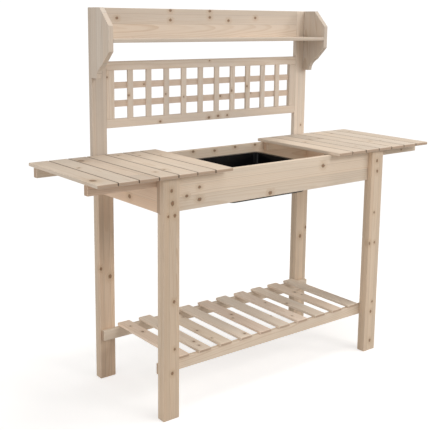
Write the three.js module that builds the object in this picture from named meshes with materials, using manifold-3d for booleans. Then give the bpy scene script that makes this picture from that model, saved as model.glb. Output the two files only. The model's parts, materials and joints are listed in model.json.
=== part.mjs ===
// Potting bench of pale softwood boards: four laminated legs, an apron ring that carries two sliding
// slatted tops and a lift-out plastic basin, a slatted lower shelf, and a back frame with a lattice
// panel and a small bracketed shelf.
// Millimetres. +X runs along the bench to the right, +Y to the back, +Z up. The origin is on the floor,
// in the middle of the bench.
import * as THREE from "three";
import { mergeVertices } from "three/addons/utils/BufferGeometryUtils.js";
import Module from "manifold-3d";

// Frame of legs and aprons
const FRAME_LENGTH = 1074; // over the outer sides of the legs
const FRAME_DEPTH = 462; // over the front and back faces of the legs
const WORK_HEIGHT = 864; // floor to the top of the slats
const BACK_HEIGHT = 536; // from the worktop to the top of the posts
const LEG_WIDTH = 65;
const LEG_OUTER_BOARD = 20; // thickness of the full-height board of a leg
const LEG_INNER_BOARD = 16; // thickness of the shorter board that the apron stands on
const APRON_HEIGHT = 121;
const APRON_THICKNESS = 20;
const SIDE_APRON_THICKNESS = 18;
const SIDE_APRON_INSET = 2; // from the outer side of the legs

// Sliding tops
const SLIDE_GAP = 1; // between a sliding top and what it runs on
const TOP_TRAVEL = 260; // how far each top is pulled out from the middle
const TOP_MEETING_GAP = 2; // between the two tops when they are pushed together
const TOP_END_INSET = 4; // from the outer side of the legs, pushed together
const TOP_FRONT_OVERHANG = 20; // past the front face of the legs
const TOP_POST_GAP = 2; // between a top's back edge and the posts
const TOP_SLATS = 7;
const TOP_SLAT_THICKNESS = 12;
const TOP_SLAT_GAP = 2.5;
const BATTEN_HEIGHT = 34;
const BATTEN_THICKNESS = 22;
const BATTEN_GAP = 2; // between a batten and the apron that guides it

// Basin and the cross rails that carry its rim
const RIM_TOP_GAP = 36; // between the rim and a pulled-out top
const RIM_END_GAP = 2; // between the rim and the front and back aprons
const RIM_CLEARANCE = 2; // between the rim and the battens that pass over it
const RIM_THICKNESS = 3;
const RIM_WIDTH = 16;
const RIM_CORNER_RADIUS = 12;
const BASIN_WALL = 3;
const BASIN_DEPTH = 110;
const BASIN_TAPER = 22; // how far each wall leans in from rim to floor
const BASIN_MOUTH_RADIUS = 22;
const BASIN_FLOOR_RADIUS = 20;
const BASIN_EDGE_RADIUS = 10; // between the walls and the floor
const BASIN_SEAT_GAP = 0.5;
const CROSS_RAIL_THICKNESS = 18;
const CROSS_RAIL_HEIGHT = 40;
const CROSS_RAIL_CLEARANCE = 2; // between a cross rail and the basin's mouth

// Lower shelf
const SHELF_RAIL_BOTTOM = 157;
const SHELF_RAIL_HEIGHT = 40;
const SHELF_RAIL_THICKNESS = 18;
const SHELF_RAIL_END_INSET = 6;
const SHELF_SLATS = 10;
const SHELF_SLAT_WIDTH = 53;
const SHELF_SLAT_LEG_GAP = 13.5; // between the end slats and the legs
const SHELF_SLAT_THICKNESS = 11;
const SHELF_SLAT_OVERHANG = 6; // past the outer face of each rail

// Back frame
const POST_WIDTH = 62;
const POST_THICKNESS = 20;
const POST_FOOT_RISE = 10; // above the lower edge of the apron
const LATTICE_ABOVE_WORKTOP = 96;
const LATTICE_BELOW_SHELF = 72;
const LATTICE_RAIL_HEIGHT = 33;
const LATTICE_STILE_WIDTH = 34;
const LATTICE_FRAME_THICKNESS = 18;
const LATTICE_UPRIGHTS = 10;
const LATTICE_CROSSBARS = 2;
const LATTICE_UPRIGHT_WIDTH = 23;
const LATTICE_CROSSBAR_HEIGHT = 24;
const LATTICE_BAR_THICKNESS = 9;
const LATTICE_BAR_INSET = 1; // from the frame's front face
const LATTICE_LAP = 2; // how deep uprights and crossbars are let into each other

// Top shelf
const BRACKET_REACH = 125; // in front of the posts
const BRACKET_THICKNESS = 20;
const BRACKET_HEIGHT = 252;
const BRACKET_TOP_CHAMFER_FRONT = 63; // down the front edge
const BRACKET_TOP_FLAT = 64; // level run along the top, from the post
const BRACKET_SHOULDER_DROP = 153; // from the top down to the shoulder, where the front edge turns in
const BRACKET_CURVE_START_RISE = 48; // from the foot up to the start of the lower curve
const BRACKET_CURVE_START_REACH = 72;
const BRACKET_CURVE_SAG = 18; // how far below its start the lower curve's control point lies
const BRACKET_FOOT_DEPTH = 36;
const SHELF_BOARD_DROP = 109; // from the top of the posts down to the shelf board's upper face
const SHELF_BOARD_THICKNESS = 13;
const BACK_BOARD_THICKNESS = 16;

const COLOURS = {
  leg: 0xc9b398,
  apron: 0xcdb9a0,
  slat: 0xdccbb5,
  back: 0xc8b297,
  basin: 0x0b0c0e,
};

const wasm = await Module();
wasm.setup();
const bench = new THREE.Group();

// Every coordinate lies on a grid of 1/64 mm, which 32-bit numbers hold exactly, so faces that meet
// are in the same place.
const GRID = 64;
const onGrid = (value) => Math.round(value * GRID) / GRID;

function addMesh(name, geometry, colour, roughness = 0.75) {
  const material = new THREE.MeshStandardMaterial({ color: colour, roughness, metalness: 0 });
  const mesh = new THREE.Mesh(geometry, material);
  mesh.name = name;
  bench.add(mesh);
  return mesh;
}

// A rectangular board between two corners.
function boardGeometry(low, high) {
  const from = low.map(onGrid);
  const to = high.map(onGrid);
  const geometry = new THREE.BoxGeometry(to[0] - from[0], to[1] - from[1], to[2] - from[2]);
  const middle = from.map((value, axis) => (value + to[axis]) / 2);
  return geometry.translate(...middle);
}

function addBoard(name, low, high, colour) {
  return addMesh(name, boardGeometry(low, high), colour);
}

// A shape drawn in Y and Z, extruded along X between two places.
function extrudeAlongX(shape, fromX, toX, curveSegments) {
  const start = onGrid(fromX);
  const length = onGrid(toX) - start;
  const options = { depth: length, bevelEnabled: false, curveSegments };
  const geometry = new THREE.ExtrudeGeometry(shape, options);
  const drawnAxes = new THREE.Matrix4().makeBasis(
    new THREE.Vector3(0, 1, 0),
    new THREE.Vector3(0, 0, 1),
    new THREE.Vector3(1, 0, 0),
  );
  geometry.applyMatrix4(drawnAxes);
  return geometry.translate(start, 0, 0);
}

function solidOf(geometry) {
  const bare = geometry.clone();
  bare.deleteAttribute("normal");
  bare.deleteAttribute("uv");
  const merged = mergeVertices(bare, 1e-4);
  return new wasm.Manifold(
    new wasm.Mesh({
      numProp: 3,
      vertProperties: new Float32Array(merged.attributes.position.array),
      triVerts: new Uint32Array(merged.index.array),
    }),
  );
}

function geometryOf(solid) {
  const { vertProperties, triVerts } = solid.getMesh();
  const geometry = new THREE.BufferGeometry();
  geometry.setAttribute("position", new THREE.BufferAttribute(vertProperties, 3));
  geometry.setIndex(new THREE.BufferAttribute(triVerts, 1));
  geometry.computeVertexNormals();
  return geometry;
}

// Places that several pieces share
const halfLength = FRAME_LENGTH / 2;
const halfDepth = FRAME_DEPTH / 2;
const legInnerSide = halfLength - LEG_WIDTH;
const slatBottom = WORK_HEIGHT - TOP_SLAT_THICKNESS;
const apronTop = slatBottom - SLIDE_GAP;
const apronBottom = apronTop - APRON_HEIGHT;
const apronOuterFace = halfDepth - LEG_OUTER_BOARD;
const apronInnerFace = apronOuterFace - APRON_THICKNESS;
const legInnerFace = apronOuterFace - LEG_INNER_BOARD;
const sideApronOuter = halfLength - SIDE_APRON_INSET;
const battenBottom = slatBottom - BATTEN_HEIGHT;
const sideApronTop = battenBottom - SLIDE_GAP;
const postFront = halfDepth;
const postBack = halfDepth + POST_THICKNESS;
const postInner = halfLength - POST_WIDTH;
const postTop = WORK_HEIGHT + BACK_HEIGHT;
const topBackEdge = postFront - TOP_POST_GAP;
const topFrontEdge = -halfDepth - TOP_FRONT_OVERHANG;
const topInnerEdge = TOP_MEETING_GAP / 2 + TOP_TRAVEL;
const topOuterEdge = halfLength - TOP_END_INSET + TOP_TRAVEL;
const topShelfTop = postTop - SHELF_BOARD_DROP;
const topShelfBottom = topShelfTop - SHELF_BOARD_THICKNESS;

// One leg: a full-height outer board and a shorter inner board that stops under the apron.
function addLeg(side, sideName, end, endName) {
  const xs = [side * halfLength, side * legInnerSide].sort((a, b) => a - b);
  const outer = [end * halfDepth, end * apronOuterFace].sort((a, b) => a - b);
  const inner = [end * apronOuterFace, end * legInnerFace].sort((a, b) => a - b);
  const name = `leg_${endName}_${sideName}`;
  addBoard(`${name}_outer_board`, [xs[0], outer[0], 0], [xs[1], outer[1], apronTop], COLOURS.leg);
  addBoard(`${name}_inner_board`, [xs[0], inner[0], 0], [xs[1], inner[1], apronBottom], COLOURS.leg);
}

function addAprons() {
  for (const [end, endName] of [[-1, "front"], [1, "back"]]) {
    const ys = [end * apronOuterFace, end * apronInnerFace].sort((a, b) => a - b);
    const low = [-halfLength, ys[0], apronBottom];
    addBoard(`apron_${endName}`, low, [halfLength, ys[1], apronTop], COLOURS.apron);
  }
  for (const [side, sideName] of [[-1, "left"], [1, "right"]]) {
    const outer = side * sideApronOuter;
    const inner = side * (sideApronOuter - SIDE_APRON_THICKNESS);
    const xs = [outer, inner].sort((a, b) => a - b);
    const low = [xs[0], -apronInnerFace, apronBottom];
    addBoard(`apron_${sideName}`, low, [xs[1], apronInnerFace, sideApronTop], COLOURS.apron);
  }
}

// A sliding top: slats side by side on two battens that run just inside the aprons.
function addSlidingTop(side, sideName) {
  const pitch = (topOuterEdge - topInnerEdge + TOP_SLAT_GAP) / TOP_SLATS;
  for (let i = 0; i < TOP_SLATS; i += 1) {
    const near = topInnerEdge + i * pitch;
    const far = near + pitch - TOP_SLAT_GAP;
    const xs = [side * near, side * far].sort((a, b) => a - b);
    const low = [xs[0], topFrontEdge, slatBottom];
    addBoard(`${sideName}_top_slat_${i + 1}`, low, [xs[1], topBackEdge, WORK_HEIGHT], COLOURS.slat);
  }
  const xs = [side * topInnerEdge, side * topOuterEdge].sort((a, b) => a - b);
  const battenFar = apronInnerFace - BATTEN_GAP;
  for (const [end, endName] of [[-1, "front"], [1, "back"]]) {
    const ys = [end * battenFar, end * (battenFar - BATTEN_THICKNESS)].sort((a, b) => a - b);
    const low = [xs[0], ys[0], battenBottom];
    addBoard(`${sideName}_top_batten_${endName}`, low, [xs[1], ys[1], slatBottom], COLOURS.slat);
  }
}

// A ring of points round a rectangle with round corners, all rings having the same number of points.
const CORNER_STEPS = 6;
function roundedRing(halfX, halfY, radius, z) {
  const ring = [];
  const corners = [[1, 1], [-1, 1], [-1, -1], [1, -1]];
  corners.forEach(([signX, signY], quarter) => {
    for (let step = 0; step <= CORNER_STEPS; step += 1) {
      const angle = ((quarter + step / CORNER_STEPS) * Math.PI) / 2;
      const x = signX * (halfX - radius) + radius * Math.cos(angle);
      const y = signY * (halfY - radius) + radius * Math.sin(angle);
      ring.push([x, y, z]);
    }
  });
  return ring;
}

// A closed skin through a list of rings, capped flat at both ends.
function loftGeometry(rings) {
  const count = rings[0].length;
  const positions = rings.flat(2);
  const faces = [];
  for (let r = 0; r + 1 < rings.length; r += 1) {
    for (let i = 0; i < count; i += 1) {
      const next = (i + 1) % count;
      const a = r * count + i;
      const b = r * count + next;
      faces.push(a, b, b + count, a, b + count, a + count);
    }
  }
  const last = (rings.length - 1) * count;
  for (let i = 1; i + 1 < count; i += 1) {
    faces.push(0, i + 1, i);
    faces.push(last, last + i, last + i + 1);
  }
  const geometry = new THREE.BufferGeometry();
  geometry.setAttribute("position", new THREE.Float32BufferAttribute(positions, 3));
  geometry.setIndex(faces);
  return geometry;
}

// Rings down one skin of the basin, from the mouth to the floor, with a round edge at the bottom.
const EDGE_STEPS = 4;
function basinRings(mouthHalfX, mouthHalfY, offset, mouthZ, floorZ) {
  const edge = BASIN_EDGE_RADIUS - offset;
  const rings = [];
  const ringAt = (z, pullIn) => {
    const along = (mouthZ - z) / (mouthZ - floorZ);
    const lean = BASIN_TAPER * along + pullIn;
    const radius = BASIN_MOUTH_RADIUS + (BASIN_FLOOR_RADIUS - BASIN_MOUTH_RADIUS) * along;
    return roundedRing(mouthHalfX - offset - lean, mouthHalfY - offset - lean, radius - offset, z);
  };
  for (let step = 0; step <= EDGE_STEPS; step += 1) {
    const angle = ((1 - step / EDGE_STEPS) * Math.PI) / 2;
    const z = floorZ + edge * (1 - Math.sin(angle));
    rings.push(ringAt(z, edge * (1 - Math.cos(angle))));
  }
  return rings;
}

function addBasin() {
  const rimTop = battenBottom - RIM_CLEARANCE;
  const rimBottom = rimTop - RIM_THICKNESS;
  const rimHalfX = topInnerEdge - RIM_TOP_GAP;
  const rimHalfY = apronInnerFace - RIM_END_GAP;
  const mouthHalfX = rimHalfX - RIM_WIDTH;
  const mouthHalfY = rimHalfY - RIM_WIDTH;
  const floorZ = rimTop - BASIN_DEPTH;
  const outside = basinRings(mouthHalfX, mouthHalfY, 0, rimTop, floorZ);
  const body = loftGeometry([...outside, roundedRing(mouthHalfX, mouthHalfY, BASIN_MOUTH_RADIUS, rimTop)]);
  const rim = loftGeometry([
    roundedRing(rimHalfX, rimHalfY, RIM_CORNER_RADIUS, rimBottom),
    roundedRing(rimHalfX, rimHalfY, RIM_CORNER_RADIUS, rimTop),
  ]);
  const inside = basinRings(mouthHalfX, mouthHalfY, BASIN_WALL, rimTop, floorZ + BASIN_WALL);
  const mouthHalfInnerX = mouthHalfX - BASIN_WALL;
  const mouthHalfInnerY = mouthHalfY - BASIN_WALL;
  const mouthInnerRadius = BASIN_MOUTH_RADIUS - BASIN_WALL;
  const hollow = loftGeometry([
    ...inside,
    roundedRing(mouthHalfInnerX, mouthHalfInnerY, mouthInnerRadius, rimTop),
    roundedRing(mouthHalfInnerX, mouthHalfInnerY, mouthInnerRadius, rimTop + RIM_THICKNESS),
  ]);
  const shell = solidOf(body).add(solidOf(rim)).subtract(solidOf(hollow));
  addMesh("basin", geometryOf(shell), COLOURS.basin, 0.3);

  const railTop = rimBottom - BASIN_SEAT_GAP;
  const railInner = mouthHalfX + CROSS_RAIL_CLEARANCE;
  for (const [side, sideName] of [[-1, "left"], [1, "right"]]) {
    const xs = [side * railInner, side * (railInner + CROSS_RAIL_THICKNESS)].sort((a, b) => a - b);
    const low = [xs[0], -apronInnerFace, railTop - CROSS_RAIL_HEIGHT];
    addBoard(`cross_rail_${sideName}`, low, [xs[1], apronInnerFace, railTop], COLOURS.apron);
  }
}

function addLowerShelf() {
  const railTop = SHELF_RAIL_BOTTOM + SHELF_RAIL_HEIGHT;
  const railHalf = halfLength - SHELF_RAIL_END_INSET;
  for (const [end, endName] of [[-1, "front"], [1, "back"]]) {
    const outer = end * legInnerFace;
    const inner = end * (legInnerFace - SHELF_RAIL_THICKNESS);
    const ys = [outer, inner].sort((a, b) => a - b);
    const low = [-railHalf, ys[0], SHELF_RAIL_BOTTOM];
    addBoard(`shelf_rail_${endName}`, low, [railHalf, ys[1], railTop], COLOURS.apron);
  }
  const slatHalfDepth = legInnerFace + SHELF_SLAT_OVERHANG;
  const lastCentre = legInnerSide - SHELF_SLAT_LEG_GAP - SHELF_SLAT_WIDTH / 2;
  const pitch = (2 * lastCentre) / (SHELF_SLATS - 1);
  for (let i = 0; i < SHELF_SLATS; i += 1) {
    const centre = -lastCentre + i * pitch;
    const low = [centre - SHELF_SLAT_WIDTH / 2, -slatHalfDepth, railTop];
    const high = [centre + SHELF_SLAT_WIDTH / 2, slatHalfDepth, railTop + SHELF_SLAT_THICKNESS];
    addBoard(`shelf_slat_${String(i + 1).padStart(2, "0")}`, low, high, COLOURS.slat);
  }
}

function addPosts() {
  const footZ = apronBottom + POST_FOOT_RISE;
  for (const [side, sideName] of [[-1, "left"], [1, "right"]]) {
    const xs = [side * halfLength, side * postInner].sort((a, b) => a - b);
    const low = [xs[0], postFront, footZ];
    addBoard(`post_${sideName}`, low, [xs[1], postBack, postTop], COLOURS.back);
  }
}

// The lattice panel: a frame of two rails and two stiles round a grid of lapped bars.
function addLattice() {
  const bottom = WORK_HEIGHT + LATTICE_ABOVE_WORKTOP;
  const top = topShelfBottom - LATTICE_BELOW_SHELF;
  const openBottom = bottom + LATTICE_RAIL_HEIGHT;
  const openTop = top - LATTICE_RAIL_HEIGHT;
  const openHalf = postInner - LATTICE_STILE_WIDTH;
  const back = postFront + LATTICE_FRAME_THICKNESS;
  const frameBoard = (name, x0, x1, z0, z1) => {
    addBoard(name, [x0, postFront, z0], [x1, back, z1], COLOURS.back);
  };
  frameBoard("lattice_rail_bottom", -postInner, postInner, bottom, openBottom);
  frameBoard("lattice_rail_top", -postInner, postInner, openTop, top);
  frameBoard("lattice_stile_left", -postInner, -openHalf, openBottom, openTop);
  frameBoard("lattice_stile_right", openHalf, postInner, openBottom, openTop);

  const uprightFront = postFront + LATTICE_BAR_INSET;
  const uprightBack = uprightFront + LATTICE_BAR_THICKNESS;
  const crossFront = uprightBack - LATTICE_LAP;
  const crossBack = crossFront + LATTICE_BAR_THICKNESS;
  const openWidth = 2 * openHalf;
  const openHeight = openTop - openBottom;
  const holeWidth = (openWidth - LATTICE_UPRIGHTS * LATTICE_UPRIGHT_WIDTH) / (LATTICE_UPRIGHTS + 1);
  const holeHeight = (openHeight - LATTICE_CROSSBARS * LATTICE_CROSSBAR_HEIGHT) / (LATTICE_CROSSBARS + 1);
  const bars = [];
  for (let i = 0; i < LATTICE_UPRIGHTS; i += 1) {
    const x = -openHalf + holeWidth + i * (holeWidth + LATTICE_UPRIGHT_WIDTH);
    const high = [x + LATTICE_UPRIGHT_WIDTH, uprightBack, openTop];
    bars.push(boardGeometry([x, uprightFront, openBottom], high));
  }
  for (let i = 0; i < LATTICE_CROSSBARS; i += 1) {
    const z = openBottom + holeHeight + i * (holeHeight + LATTICE_CROSSBAR_HEIGHT);
    const high = [openHalf, crossBack, z + LATTICE_CROSSBAR_HEIGHT];
    bars.push(boardGeometry([-openHalf, crossFront, z], high));
  }
  const grid = bars.map(solidOf).reduce((joined, bar) => joined.add(bar));
  addMesh("lattice_grid", geometryOf(grid), COLOURS.back);
}

// The side bracket's outline in Y and Z: level top, slanted nose, upright front, slanted shoulder and a
// hollow curve down to a narrow level foot.
function bracketShape() {
  const top = postTop;
  const front = postFront - BRACKET_REACH;
  const bottom = top - BRACKET_HEIGHT;
  const curveStartY = postFront - BRACKET_CURVE_START_REACH;
  const curveStartZ = bottom + BRACKET_CURVE_START_RISE;
  const footFront = postFront - BRACKET_FOOT_DEPTH;
  const shape = new THREE.Shape();
  shape.moveTo(postFront, top);
  shape.lineTo(postFront - BRACKET_TOP_FLAT, top);
  shape.lineTo(front, top - BRACKET_TOP_CHAMFER_FRONT);
  shape.lineTo(front, top - BRACKET_SHOULDER_DROP);
  shape.lineTo(curveStartY, curveStartZ);
  shape.quadraticCurveTo(footFront, curveStartZ - BRACKET_CURVE_SAG, footFront, bottom);
  shape.lineTo(postFront, bottom);
  shape.closePath();
  return shape;
}

function addTopShelf() {
  for (const [side, sideName] of [[-1, "left"], [1, "right"]]) {
    const xs = [side * halfLength, side * (halfLength - BRACKET_THICKNESS)].sort((a, b) => a - b);
    addMesh(`bracket_${sideName}`, extrudeAlongX(bracketShape(), xs[0], xs[1], 8), COLOURS.back);
  }
  const shelfHalf = halfLength - BRACKET_THICKNESS;
  const shelfLow = [-shelfHalf, postFront - BRACKET_REACH, topShelfBottom];
  addBoard("top_shelf_board", shelfLow, [shelfHalf, postFront, topShelfTop], COLOURS.back);
  const boardLow = [-postInner, postFront, topShelfBottom];
  const boardHigh = [postInner, postFront + BACK_BOARD_THICKNESS, postTop];
  addBoard("back_board", boardLow, boardHigh, COLOURS.back);
}

for (const [side, sideName] of [[-1, "left"], [1, "right"]]) {
  for (const [end, endName] of [[-1, "front"], [1, "back"]]) addLeg(side, sideName, end, endName);
  addSlidingTop(side, sideName);
}
addAprons();
addBasin();
addLowerShelf();
addPosts();
addLattice();
addTopShelf();

// The origin is in the middle of the depth over the tops' front edge and the posts.
bench.position.y = onGrid(-(topFrontEdge + postBack) / 2);

export default bench;
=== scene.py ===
import json
import math
import random

import bmesh
import bpy
from bpy.props import FloatProperty, FloatVectorProperty, IntProperty, PointerProperty
from bpy.types import Operator, Panel, PropertyGroup
from mathutils import Matrix, Vector


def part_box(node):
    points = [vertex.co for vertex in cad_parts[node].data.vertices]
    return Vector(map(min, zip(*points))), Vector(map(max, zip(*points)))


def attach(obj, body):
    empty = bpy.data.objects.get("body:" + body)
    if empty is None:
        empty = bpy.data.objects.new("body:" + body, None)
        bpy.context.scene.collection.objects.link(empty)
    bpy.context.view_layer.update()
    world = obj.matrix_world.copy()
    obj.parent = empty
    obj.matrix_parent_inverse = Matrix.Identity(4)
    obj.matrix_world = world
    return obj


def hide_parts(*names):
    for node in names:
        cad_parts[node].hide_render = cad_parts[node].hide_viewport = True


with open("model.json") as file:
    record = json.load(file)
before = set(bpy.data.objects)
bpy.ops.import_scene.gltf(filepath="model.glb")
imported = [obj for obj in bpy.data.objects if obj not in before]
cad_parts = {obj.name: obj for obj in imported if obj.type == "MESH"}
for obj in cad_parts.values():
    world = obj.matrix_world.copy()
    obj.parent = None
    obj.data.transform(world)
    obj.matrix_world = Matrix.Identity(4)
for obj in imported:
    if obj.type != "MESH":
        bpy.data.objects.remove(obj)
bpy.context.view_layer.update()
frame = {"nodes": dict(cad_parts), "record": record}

bl_info = {
    "name": "Potting bench",
    "version": (1, 0, 0),
    "blender": (4, 5, 0),
    "location": "View3D > Sidebar > Potting bench",
    "description": "Fir boards, a plastic basin and a studio round the packed potting bench",
    "category": "Object",
}

MM = 0.001
FLOOR_RADIUS = 2.6
FLOOR_LIFT = 0.6  # light the floor adds of its own, which only the camera sees
SHARP_TURN = math.radians(25)  # edges that turn by more than this are eased
ARC_STEPS = 6  # flats in each rounded stretch of the basin's section
WARM_LIGHT = (1.0, 0.99, 0.97)
SOFT_LIGHT = (1.0, 0.99, 0.98)
COOL_LIGHT = (0.98, 0.99, 1.0)
ROOM_COLOUR = (1.0, 0.962, 0.922)
WHITE = (1.0, 1.0, 1.0)

# Square soft lights: place in metres, power in watts, width in metres and colour.
LIGHTS = {
    "top_light": ((1.2, -0.6, 6.5), 160.0, 3.5, WARM_LIGHT),
    "front_light": ((2.4, -6.2, 4.6), 146.0, 2.6, SOFT_LIGHT),
    "right_light": ((4.6, -3.4, 2.6), 64.0, 1.6, SOFT_LIGHT),
    "left_light": ((-5.0, -0.8, 1.4), 85.0, 3.0, COOL_LIGHT),
}
LIGHT_TARGET = (0.0, 0.0, 0.7)

# Colours laid over the fir by the layers of fir_material.
GLUE_COLOUR = (0.20, 0.13, 0.08)
KNOT_STAIN = (0.50, 0.32, 0.17)
KNOT_RIM = (0.090, 0.050, 0.030)
# Painted highlight along the eased edges.
ARRIS_HIGHLIGHT = (0.86, 0.76, 0.64)
END_GRAIN = (0.44, 0.30, 0.205)
# Painted shade on the slats' sides that face a narrow gap.
GAP_SHADE = (0.13, 0.075, 0.045)
SCUFFED_PLASTIC = (0.02, 0.02, 0.022)

BODY_OF = {
    node: body
    for body, nodes in frame["record"]["behaviour"]["bodies"].items()
    for node in nodes
}

KNOTS_PER_BOARD = 8
NO_KNOT = (0.0, 0.0, 0.0)
# Places in millimetres past any board's end and edge, for joints and glue lines that aren't there.
NO_JOINT = 900.0
NO_STAVE = 900.0

# Radii of knots in millimetres.
SMALL = 3.5
MEDIUM = 4.5
LARGE = 6.0
HUGE = 10.0

# The plainest knots: how far along the board and across it from its middle, where 1 is its
# end or its edge, and the radius. Boards that aren't here get a few at random.
KNOTS = {
    "leg_front_left_outer_board": [
        (0.9, 0.0, MEDIUM), (0.8, 0.1, LARGE), (0.7, -0.4, SMALL), (0.7, 0.4, MEDIUM),
        (0.0, 0.3, MEDIUM), (-0.4, 0.4, SMALL), (-0.6, 0.1, MEDIUM),
    ],
    "leg_front_right_outer_board": [
        (0.9, -0.1, MEDIUM), (0.8, 0.0, MEDIUM), (0.4, -0.2, SMALL), (0.1, -0.8, MEDIUM),
        (0.1, 0.1, SMALL), (-0.5, 0.2, SMALL), (-0.6, 0.0, MEDIUM), (-0.9, 0.1, MEDIUM),
    ],
    "leg_back_left_inner_board": [(0.2, -0.8, MEDIUM), (0.1, 0.4, LARGE)],
    "leg_back_right_inner_board": [(0.2, 0.8, MEDIUM), (0.1, -0.2, LARGE)],
    "apron_front": [
        (-0.7, 0.2, MEDIUM), (-0.8, -0.2, MEDIUM), (-0.7, -0.5, LARGE), (-0.1, -0.8, LARGE),
        (0.4, 0.4, LARGE), (0.9, -0.3, MEDIUM),
    ],
    "apron_left": [(-0.1, -0.4, LARGE)],
    "apron_back": [(-0.2, 0.9, MEDIUM), (0.0, 0.8, MEDIUM), (0.2, 0.9, MEDIUM), (0.4, 0.9, MEDIUM)],
    "back_board": [
        (-0.9, 0.4, MEDIUM), (-0.4, 0.9, MEDIUM), (-0.4, 0.3, MEDIUM), (0.0, 0.9, MEDIUM),
        (0.0, 0.5, MEDIUM), (0.2, 0.3, MEDIUM), (0.5, 0.5, MEDIUM),
    ],
    "lattice_rail_bottom": [
        (-0.5, -0.4, SMALL), (0.0, -0.4, MEDIUM), (0.1, -0.2, MEDIUM), (0.2, -0.2, SMALL),
    ],
    "left_top_slat_5": [(0.7, -0.6, HUGE)],
    "left_top_slat_7": [(-0.7, -0.3, HUGE)],
}

# Glue lines of boards laid up from staves, across the board from its middle in millimetres, and the
# tone of each stave from the low side to the high side.
STAVES = {
    "apron_front": ((-14, 26), (0.96, 1.02, 1.04)),
    "apron_left": ((-4, NO_STAVE), (0.94, 0.98, 0.98)),
    "back_board": ((3, 40), (0.94, 0.89, 0.87)),
    "bracket_left": ((-20, 22), (0.88, 0.92, 0.90)),
    "bracket_right": ((-20, 22), (0.80, 0.77, 0.80)),
    "lattice_crossbar_1": ((NO_STAVE, NO_STAVE), (0.94, 0.94, 0.94)),
    "lattice_crossbar_2": ((NO_STAVE, NO_STAVE), (0.97, 0.97, 0.97)),
    "lattice_rail_top": ((NO_STAVE, NO_STAVE), (1.02, 1.02, 1.02)),
    "leg_front_left_outer_board": ((-9, 18), (0.94, 0.97, 1.0)),
    "leg_front_right_outer_board": ((-16, 12), (1.05, 1.09, 1.06)),
    "leg_back_left_inner_board": ((-12, 14), (0.96, 1.01, 1.07)),
    "leg_back_right_inner_board": ((-10, 16), (1.04, 1.08, 1.02)),
    "left_top_batten_front": ((4, NO_STAVE), (0.92, 0.86, 0.86)),
    "left_top_slat_2": ((NO_STAVE, NO_STAVE), (0.97, 0.97, 0.97)),
    "left_top_slat_4": ((NO_STAVE, NO_STAVE), (0.94, 0.94, 0.94)),
    "left_top_slat_5": ((14, NO_STAVE), (0.92, 0.89, 0.89)),
    "left_top_slat_6": ((NO_STAVE, NO_STAVE), (0.92, 0.92, 0.92)),
    "left_top_slat_7": ((NO_STAVE, NO_STAVE), (0.89, 0.89, 0.89)),
    "post_left": ((-14, 15), (0.85, 0.82, 0.88)),
    "post_right": ((-12, 14), (1.05, 1.02, 1.0)),
    "top_shelf_board": ((-20, 24), (0.84, 0.87, 0.85)),
}

# Boards that are drawn pinker or yellower than the rest: what their colour is multiplied by. The tints of
# the side aprons and the front batten are painted light: the warm light bouncing off the wood into the shade
# under the tops.
TINTS = {
    # Painted warm bounce light in the shade under the tops.
    "apron_left": (1.07, 0.97, 0.91),
    "apron_right": (1.05, 0.97, 0.92),
    "left_top_batten_front": (1.08, 0.96, 0.90),
    "lattice_crossbar_1": (1.04, 0.97, 0.93),
    "lattice_crossbar_2": (1.04, 0.97, 0.93),
    "leg_back_left_inner_board": (1.03, 0.985, 0.96),
    "shelf_slat_01": (1.02, 0.985, 0.97),
    "shelf_slat_03": (1.04, 1.02, 0.98),
    "shelf_slat_05": (1.05, 0.995, 0.98),
    "shelf_slat_07": (1.04, 1.0, 0.99),
    "shelf_slat_09": (1.05, 1.02, 1.0),
    "left_top_slat_5": (1.01, 0.98, 0.96),
}

# Finger joints across a board: the two places along it, in millimetres from its middle.
FINGER_JOINTS = {"left_top_slat_5": (-158, 172), "right_top_slat_3": (-NO_JOINT, 70)}


class FirSettings(PropertyGroup):
    """Colours and figure of the fir boards."""

    leg_colour: FloatVectorProperty(
        name="Leg colour", description="Pale wood of the legs", subtype="COLOR", size=3,
        default=(0.700, 0.560, 0.425), min=0, max=1,
    )
    apron_colour: FloatVectorProperty(
        name="Apron colour", description="Pale wood of the aprons, rails and battens", subtype="COLOR",
        size=3, default=(0.800, 0.675, 0.545), min=0, max=1,
    )
    slat_colour: FloatVectorProperty(
        name="Slat colour", description="Pale wood of the slats", subtype="COLOR", size=3,
        default=(0.790, 0.680, 0.565), min=0, max=1,
    )
    back_colour: FloatVectorProperty(
        name="Back colour", description="Pale wood of the posts, lattice and small shelf",
        subtype="COLOR", size=3, default=(0.772, 0.670, 0.568), min=0, max=1,
    )
    latewood: FloatVectorProperty(
        name="Latewood", description="Dark side of each year ring, as a share of the pale wood",
        subtype="COLOR", size=3, default=(0.830, 0.750, 0.660), min=0, max=1,
    )
    knot_colour: FloatVectorProperty(
        name="Knot colour", description="Heart of a knot", subtype="COLOR", size=3,
        default=(0.270, 0.140, 0.068), min=0, max=1,
    )
    ring_width: FloatProperty(
        name="Ring width", description="Width of one year ring", unit="LENGTH",
        default=3.6 * MM, min=1 * MM, max=12 * MM,
    )
    arris: FloatProperty(
        name="Arris", description="Radius of the eased edges", unit="LENGTH",
        default=1.8 * MM, min=0.5 * MM, max=4 * MM,
    )
    slat_arris: FloatProperty(
        name="Slat arris", description="Radius of the slats' eased edges", unit="LENGTH",
        default=2.2 * MM, min=0.5 * MM, max=4 * MM,
    )
    end_trim: FloatProperty(
        name="End trim", description="Most that a slat's sawn end stands back", unit="LENGTH",
        default=1.2 * MM, min=0, max=4 * MM,
    )


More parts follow.
